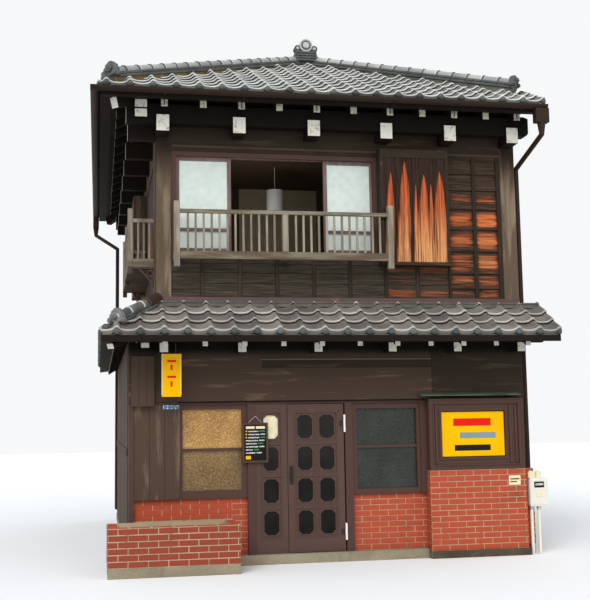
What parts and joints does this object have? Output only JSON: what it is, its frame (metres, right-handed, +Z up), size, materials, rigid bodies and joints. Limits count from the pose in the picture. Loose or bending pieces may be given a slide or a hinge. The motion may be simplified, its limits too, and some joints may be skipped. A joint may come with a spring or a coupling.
{
  "type": "two-storey timber townhouse with a shop front",
  "caption": "Corner timber townhouse: tiled hip roof on beam eaves, tiled skirt roof, upper balcony, shuttered upper storey, and a shop front with a hinged door.",
  "frame": {"origin": "on the ground under the front left through post, at the plane of the posts' front faces", "axes": "+Z up, +Y from the street into the house, +X to the right seen from the street"},
  "size_m": [5.5868, 7.73, 7.2765],
  "materials": {
    "concrete": "rough",
    "brick": "matt",
    "soil": "rough",
    "brown_paint": "satin",
    "dark_boards": "matt",
    "amber_glass": "patterned",
    "dark_glass": "patterned",
    "door_paint": "satin",
    "door_lights": "plain",
    "steel": "worn",
    "hinge_paint": "satin",
    "yellow_panel": "gloss",
    "green_sheet": "matt",
    "skirt_tile": "matt",
    "flashing": "matt",
    "floor_boards": "satin",
    "weathered_post": "weathered",
    "upper_boards": "matt",
    "clapboard": "weathered",
    "shutter_boards": "weathered",
    "sash_wood": "weathered",
    "frosted_glass": "frosted",
    "railing": "weathered",
    "eave_timber": "matt",
    "roof_tile": "smoked",
    "ridge_tile": "matt",
    "gutter_sheet": "satin",
    "menu_black": "chalked",
    "plaster": "matt",
    "ceiling_boards": "matt",
    "lamp_shade": "matt",
    "meter_paint": "satin"
  },
  "bodies": {
    "root": {"foundation": "concrete", "brick_dado": "brick", "bay_plinth": "brick", "planter": "brick", "planter_soil": "soil", "ground_posts": "brown_paint", "front_boards": "dark_boards", "front_band": "dark_boards", "ground_left_wall": "dark_boards", "ground_right_wall": "dark_boards", "ground_back_wall": "dark_boards", "window_1_frame": "brown_paint", "window_1_glass": "amber_glass", "window_2_frame": "brown_paint", "window_2_glass": "dark_glass", "side_leaf": "door_paint", "side_leaf_glass": "door_lights", "hinge_pins": "hinge_paint", "bay_frame": "brown_paint", "bay_panel": "yellow_panel", "bay_canopy": "green_sheet", "skirt_roof_front": "skirt_tile", "skirt_roof_left": "skirt_tile", "skirt_hip": "skirt_tile", "skirt_flashing": "flashing", "upper_floor": "floor_boards", "upper_posts": "weathered_post", "front_low_wall": "upper_boards", "clapboard_wall": "clapboard", "frieze": "upper_boards", "upper_left_wall": "upper_boards", "side_shutters": "shutter_boards", "upper_right_wall": "upper_boards", "upper_back_wall": "upper_boards", "sashes": "sash_wood", "sash_glass": "frosted_glass", "shutter_box": "shutter_boards", "balcony": "railing", "side_balcony": "railing", "eave_arms": "eave_timber", "purlins": "eave_timber", "rafters": "eave_timber", "roof_front": "roof_tile", "roof_left": "roof_tile", "roof_right": "roof_tile", "roof_back": "roof_tile", "ridges": "ridge_tile", "gutters": "gutter_sheet", "light_box": "yellow_panel", "menu_board": "menu_black", "inner_wall": "plaster", "ceiling": "ceiling_boards", "pendant_lamp": "lamp_shade", "gas_meter": "meter_paint"},
    "door": {"door_leaf": "door_paint", "door_glass": "door_lights", "door_hardware": "steel"}
  },
  "joints": [
    {"name": "main_door", "type": "hinge", "parent": "root", "child": "door", "pos_m": [2.156, -0.009, 0.118], "axis": [0, 0, 1], "range_deg": [0, 95]}
  ]
}
